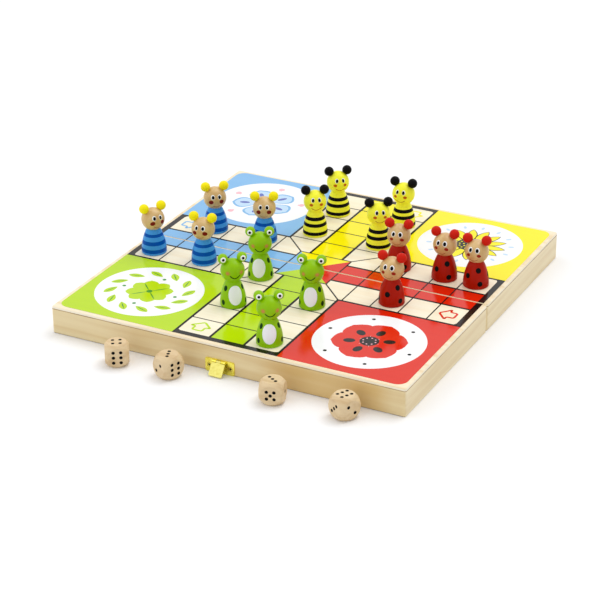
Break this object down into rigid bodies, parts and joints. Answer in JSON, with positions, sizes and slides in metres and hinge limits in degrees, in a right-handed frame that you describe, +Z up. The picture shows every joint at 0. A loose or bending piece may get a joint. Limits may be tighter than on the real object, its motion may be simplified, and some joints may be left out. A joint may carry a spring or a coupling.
{
  "type": "folding ludo board box",
  "caption": "Shallow wooden box that unfolds into a printed ludo board with a brass clasp, turned animal pawns and wooden dice.",
  "frame": {"origin": "middle of the open board, on the plane of the rims that stand on the table", "axes": "+X along the fold to the right, +Y from the clasp side to the back, +Z up"},
  "size_m": [0.3, 0.3338, 0.0673],
  "materials": {
    "rail_wood": "pale pine, clear satin varnish",
    "plywood": "pale birch plywood, clear satin varnish",
    "print": "printed playing field under gloss lacquer",
    "brass": "polished brass-plated steel",
    "flap_brass": "polished brass-plated steel",
    "pin_brass": "brass-plated wire",
    "screw_brass": "brass-plated screw",
    "frog_green": "turned wood, gloss green lacquer",
    "ladybird_red": "turned wood, gloss red lacquer on the body",
    "bee_yellow": "turned wood, gloss yellow lacquer",
    "butterfly_blue": "turned wood, gloss blue lacquer on the body",
    "ball_red": "wooden ball, satin red paint",
    "ball_black": "wooden ball, gloss black paint",
    "ball_yellow": "wooden ball, satin yellow paint",
    "dice_wood": "natural wood, satin, black pips"
  },
  "bodies": {
    "front_tray": {"front_outer_rail": "rail_wood", "front_hinge_rail": "rail_wood", "front_left_rail": "rail_wood", "front_right_rail": "rail_wood", "front_panel": "plywood", "front_print": "print", "hinge_front_leaves": "brass", "hinge_pins": "pin_brass", "hinge_front_screws": "screw_brass", "clasp_plate": "brass", "clasp_pin": "pin_brass", "clasp_screws": "screw_brass"},
    "back_tray": {"back_outer_rail": "rail_wood", "back_hinge_rail": "rail_wood", "back_left_rail": "rail_wood", "back_right_rail": "rail_wood", "back_panel": "plywood", "back_print": "print", "hinge_back_leaves": "brass", "hinge_back_screws": "screw_brass", "catch_plate": "brass", "catch_screws": "screw_brass"},
    "clasp": {"clasp_flap": "flap_brass"},
    "frog_1": {"frog_1_peg": "frog_green", "frog_1_eyes": "frog_green"},
    "frog_2": {"frog_2_peg": "frog_green", "frog_2_eyes": "frog_green"},
    "frog_3": {"frog_3_peg": "frog_green", "frog_3_eyes": "frog_green"},
    "frog_4": {"frog_4_peg": "frog_green", "frog_4_eyes": "frog_green"},
    "ladybird_1": {"ladybird_1_peg": "ladybird_red", "ladybird_1_balls": "ball_red"},
    "ladybird_2": {"ladybird_2_peg": "ladybird_red", "ladybird_2_balls": "ball_red"},
    "ladybird_3": {"ladybird_3_peg": "ladybird_red", "ladybird_3_balls": "ball_red"},
    "ladybird_4": {"ladybird_4_peg": "ladybird_red", "ladybird_4_balls": "ball_red"},
    "bee_1": {"bee_1_peg": "bee_yellow", "bee_1_balls": "ball_black"},
    "bee_2": {"bee_2_peg": "bee_yellow", "bee_2_balls": "ball_black"},
    "bee_3": {"bee_3_peg": "bee_yellow", "bee_3_balls": "ball_black"},
    "bee_4": {"bee_4_peg": "bee_yellow", "bee_4_balls": "ball_black"},
    "butterfly_1": {"butterfly_1_peg": "butterfly_blue", "butterfly_1_balls": "ball_yellow"},
    "butterfly_2": {"butterfly_2_peg": "butterfly_blue", "butterfly_2_balls": "ball_yellow"},
    "butterfly_3": {"butterfly_3_peg": "butterfly_blue", "butterfly_3_balls": "ball_yellow"},
    "butterfly_4": {"butterfly_4_peg": "butterfly_blue", "butterfly_4_balls": "ball_yellow"},
    "die_1_body": {"die_1": "dice_wood"},
    "die_2_body": {"die_2": "dice_wood"},
    "die_3_body": {"die_3": "dice_wood"},
    "die_4_body": {"die_4": "dice_wood"}
  },
  "joints": [
    {"name": "fold", "type": "hinge", "parent": "front_tray", "child": "back_tray", "pos_m": [0, 0, -0.00005], "axis": [-1, 0, 0], "range_deg": [0, 180]},
    {"name": "clasp_swing", "type": "hinge", "parent": "front_tray", "child": "clasp", "pos_m": [-0.0014, -0.15188, 0.0101], "axis": [-1, 0, 0], "range_deg": [-36, 124]},
    {"name": "frog_1_lift", "type": "slide", "parent": "front_tray", "child": "frog_1", "axis": [0, 0, 1], "range_m": [0, 0.08]},
    {"name": "frog_2_lift", "type": "slide", "parent": "front_tray", "child": "frog_2", "axis": [0, 0, 1], "range_m": [0, 0.08]},
    {"name": "frog_3_lift", "type": "slide", "parent": "front_tray", "child": "frog_3", "axis": [0, 0, 1], "range_m": [0, 0.08]},
    {"name": "frog_4_lift", "type": "slide", "parent": "front_tray", "child": "frog_4", "axis": [0, 0, 1], "range_m": [0, 0.08]},
    {"name": "ladybird_1_lift", "type": "slide", "parent": "back_tray", "child": "ladybird_1", "axis": [0, 0, 1], "range_m": [0, 0.08]},
    {"name": "ladybird_2_lift", "type": "slide", "parent": "front_tray", "child": "ladybird_2", "axis": [0, 0, 1], "range_m": [0, 0.08]},
    {"name": "ladybird_3_lift", "type": "slide", "parent": "back_tray", "child": "ladybird_3", "axis": [0, 0, 1], "range_m": [0, 0.08]},
    {"name": "ladybird_4_lift", "type": "slide", "parent": "back_tray", "child": "ladybird_4", "axis": [0, 0, 1], "range_m": [0, 0.08]},
    {"name": "bee_1_lift", "type": "slide", "parent": "back_tray", "child": "bee_1", "axis": [0, 0, 1], "range_m": [0, 0.08]},
    {"name": "bee_2_lift", "type": "slide", "parent": "back_tray", "child": "bee_2", "axis": [0, 0, 1], "range_m": [0, 0.08]},
    {"name": "bee_3_lift", "type": "slide", "parent": "back_tray", "child": "bee_3", "axis": [0, 0, 1], "range_m": [0, 0.08]},
    {"name": "bee_4_lift", "type": "slide", "parent": "back_tray", "child": "bee_4", "axis": [0, 0, 1], "range_m": [0, 0.08]},
    {"name": "butterfly_1_lift", "type": "slide", "parent": "front_tray", "child": "butterfly_1", "axis": [0, 0, 1], "range_m": [0, 0.08]},
    {"name": "butterfly_2_lift", "type": "slide", "parent": "front_tray", "child": "butterfly_2", "axis": [0, 0, 1], "range_m": [0, 0.08]},
    {"name": "butterfly_3_lift", "type": "slide", "parent": "back_tray", "child": "butterfly_3", "axis": [0, 0, 1], "range_m": [0, 0.08]},
    {"name": "butterfly_4_lift", "type": "slide", "parent": "back_tray", "child": "butterfly_4", "axis": [0, 0, 1], "range_m": [0, 0.08]},
    {"name": "die_1_lift", "type": "slide", "parent": "front_tray", "child": "die_1_body", "axis": [0, 0, 1], "range_m": [0, 0.06]},
    {"name": "die_2_lift", "type": "slide", "parent": "front_tray", "child": "die_2_body", "axis": [0, 0, 1], "range_m": [0, 0.06]},
    {"name": "die_3_lift", "type": "slide", "parent": "front_tray", "child": "die_3_body", "axis": [0, 0, 1], "range_m": [0, 0.06]},
    {"name": "die_4_lift", "type": "slide", "parent": "front_tray", "child": "die_4_body", "axis": [0, 0, 1], "range_m": [0, 0.06]}
  ]
}
